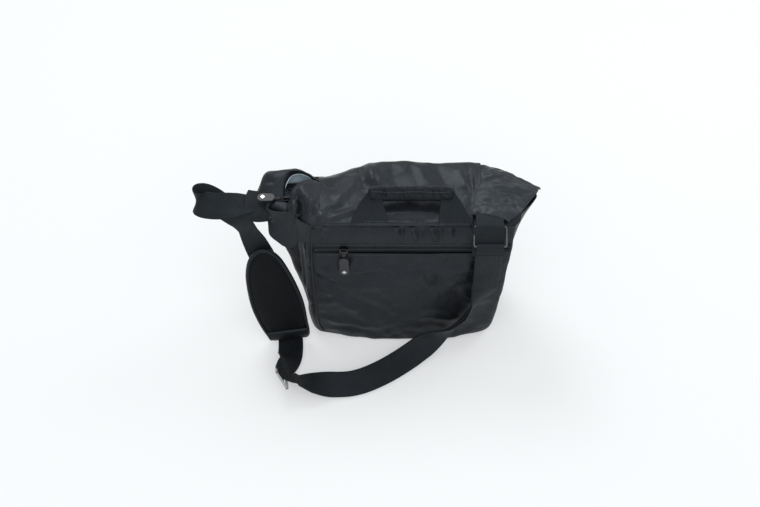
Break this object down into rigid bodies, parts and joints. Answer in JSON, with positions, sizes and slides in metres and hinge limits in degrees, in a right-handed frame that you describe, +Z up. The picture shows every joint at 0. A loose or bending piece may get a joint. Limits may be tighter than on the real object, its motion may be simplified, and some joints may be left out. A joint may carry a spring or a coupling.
{
  "type": "shoulder bag",
  "caption": "Soft nylon shoulder bag with a boxed body, rear zip pocket, flap over a zipped main compartment, carry handle, webbing strap, tri-glide and mesh-faced shoulder pad.",
  "frame": {"origin": "middle of the base, on the surface the bag stands on", "axes": "+X along the bag's width, toward the strap's right ring seen from the pocket side; +Y from the pocket face to the flap's front face; +Z up"},
  "size_m": [0.4716, 0.2416, 0.2644],
  "materials": {
    "shell_nylon": "coated nylon, fine weave, slight sheen",
    "flap_nylon": "coated nylon, smooth, slight sheen",
    "lining_cloth": "light grey-blue woven lining",
    "zip_tape": "woven zip tape",
    "zip_teeth": "moulded coil",
    "zip_metal": "dark nickel",
    "pull_tab": "smooth black",
    "rivet_metal": "bright nickel",
    "ring_metal": "nickel wire",
    "glide_metal": "nickel plate",
    "webbing": "ribbed woven webbing",
    "grip_nylon": "padded nylon wrap",
    "grip_core": "foam core",
    "patch_nylon": "coarse nylon",
    "hook_loop": "hook and loop tape",
    "board": "stiff board",
    "pad_nylon": "smooth nylon",
    "pad_piping": "folded edge tape",
    "pad_mesh": "open honeycomb mesh",
    "pad_foam": "foam"
  },
  "bodies": {
    "bag": {"base_stiffener": "board", "bottom_panel": "shell_nylon", "front_loop_strip": "hook_loop", "front_panel": "shell_nylon", "left_anchor_loop": "webbing", "left_anchor_patch": "patch_nylon", "left_gusset": "shell_nylon", "left_wing": "shell_nylon", "lining": "lining_cloth", "main_zip_stops": "zip_metal", "main_zip_tape_front": "zip_tape", "main_zip_tape_rear": "zip_tape", "main_zip_teeth_front": "zip_teeth", "main_zip_teeth_rear": "zip_teeth", "pad_back": "pad_nylon", "pad_end_binding": "pad_nylon", "pad_foam": "pad_foam", "pad_mesh_face": "pad_mesh", "pad_piping": "pad_piping", "pad_sleeve": "pad_nylon", "pocket_panel_lower": "shell_nylon", "pocket_panel_upper": "shell_nylon", "pocket_zip_stops": "zip_metal", "pocket_zip_tapes": "zip_tape", "pocket_zip_teeth": "zip_teeth", "rear_panel": "lining_cloth", "right_anchor_loop": "webbing", "right_anchor_patch": "patch_nylon", "right_gusset": "shell_nylon", "right_wing": "shell_nylon", "roof_front": "lining_cloth", "roof_rear": "lining_cloth", "strap_return": "webbing", "strap_webbing": "webbing", "tri_glide": "glide_metal"},
    "flap": {"flap_top": "flap_nylon"},
    "flap_drop": {"flap_drop": "flap_nylon", "flap_hook_strip": "hook_loop"},
    "handle": {"handle_webbing": "webbing", "handle_core": "grip_core", "handle_grip": "grip_nylon"},
    "pocket_slider": {"pocket_zip_slider": "zip_metal"},
    "pocket_pull_link": {"pocket_pull_link": "zip_metal"},
    "pocket_pull_tab": {"pocket_pull_tab": "pull_tab", "pocket_pull_rivet": "rivet_metal"},
    "main_slider": {"main_zip_slider": "zip_metal"},
    "main_pull": {"main_pull_link": "zip_metal", "main_pull_tab": "pull_tab", "main_pull_rivet": "rivet_metal"},
    "right_ring": {"right_ring": "ring_metal", "right_strap_end": "webbing"},
    "left_ring": {"left_ring": "ring_metal", "left_strap_end": "webbing"}
  },
  "joints": [
    {"name": "flap_hinge", "type": "hinge", "parent": "bag", "child": "flap", "pos_m": [0, -0.058, 0.231], "axis": [1, 0, 0], "range_deg": [0, 95]},
    {"name": "flap_drop_hinge", "type": "hinge", "parent": "flap", "child": "flap_drop", "pos_m": [0, 0.0528, 0.2435], "axis": [1, 0, 0], "range_deg": [0, 80]},
    {"name": "handle_hinge", "type": "hinge", "parent": "flap", "child": "handle", "pos_m": [0.009, -0.06, 0.231], "axis": [1, 0, 0], "range_deg": [0, 95]},
    {"name": "pocket_slide", "type": "slide", "parent": "bag", "child": "pocket_slider", "axis": [1, 0, 0], "range_m": [-0.03, 0.165]},
    {"name": "pocket_pull_swing", "type": "hinge", "parent": "pocket_slider", "child": "pocket_pull_link", "pos_m": [-0.082, -0.0652, 0.1884], "axis": [0, 1, 0], "range_deg": [-35, 35]},
    {"name": "pocket_pull_lift", "type": "hinge", "parent": "pocket_pull_link", "child": "pocket_pull_tab", "pos_m": [-0.082, -0.0656, 0.1784], "axis": [1, 0, 0], "range_deg": [-90, 0]},
    {"name": "main_slide", "type": "slide", "parent": "bag", "child": "main_slider", "axis": [0.9986, 0.0526, 0.0045], "range_m": [0, 0.248]},
    {"name": "main_pull_lift", "type": "hinge", "parent": "main_slider", "child": "main_pull", "pos_m": [-0.1658, -0.0062, 0.2332], "axis": [0, 0.9963, 0.0859], "range_deg": [0, 120]},
    {"name": "right_ring_swing", "type": "hinge", "parent": "bag", "child": "right_ring", "pos_m": [0.112, -0.064, 0.238], "axis": [1, 0, 0], "range_deg": [-35, 0]},
    {"name": "left_ring_swing", "type": "hinge", "parent": "bag", "child": "left_ring", "pos_m": [-0.178, -0.006, 0.218], "axis": [0, 1, 0], "range_deg": [-8, 4]}
  ]
}
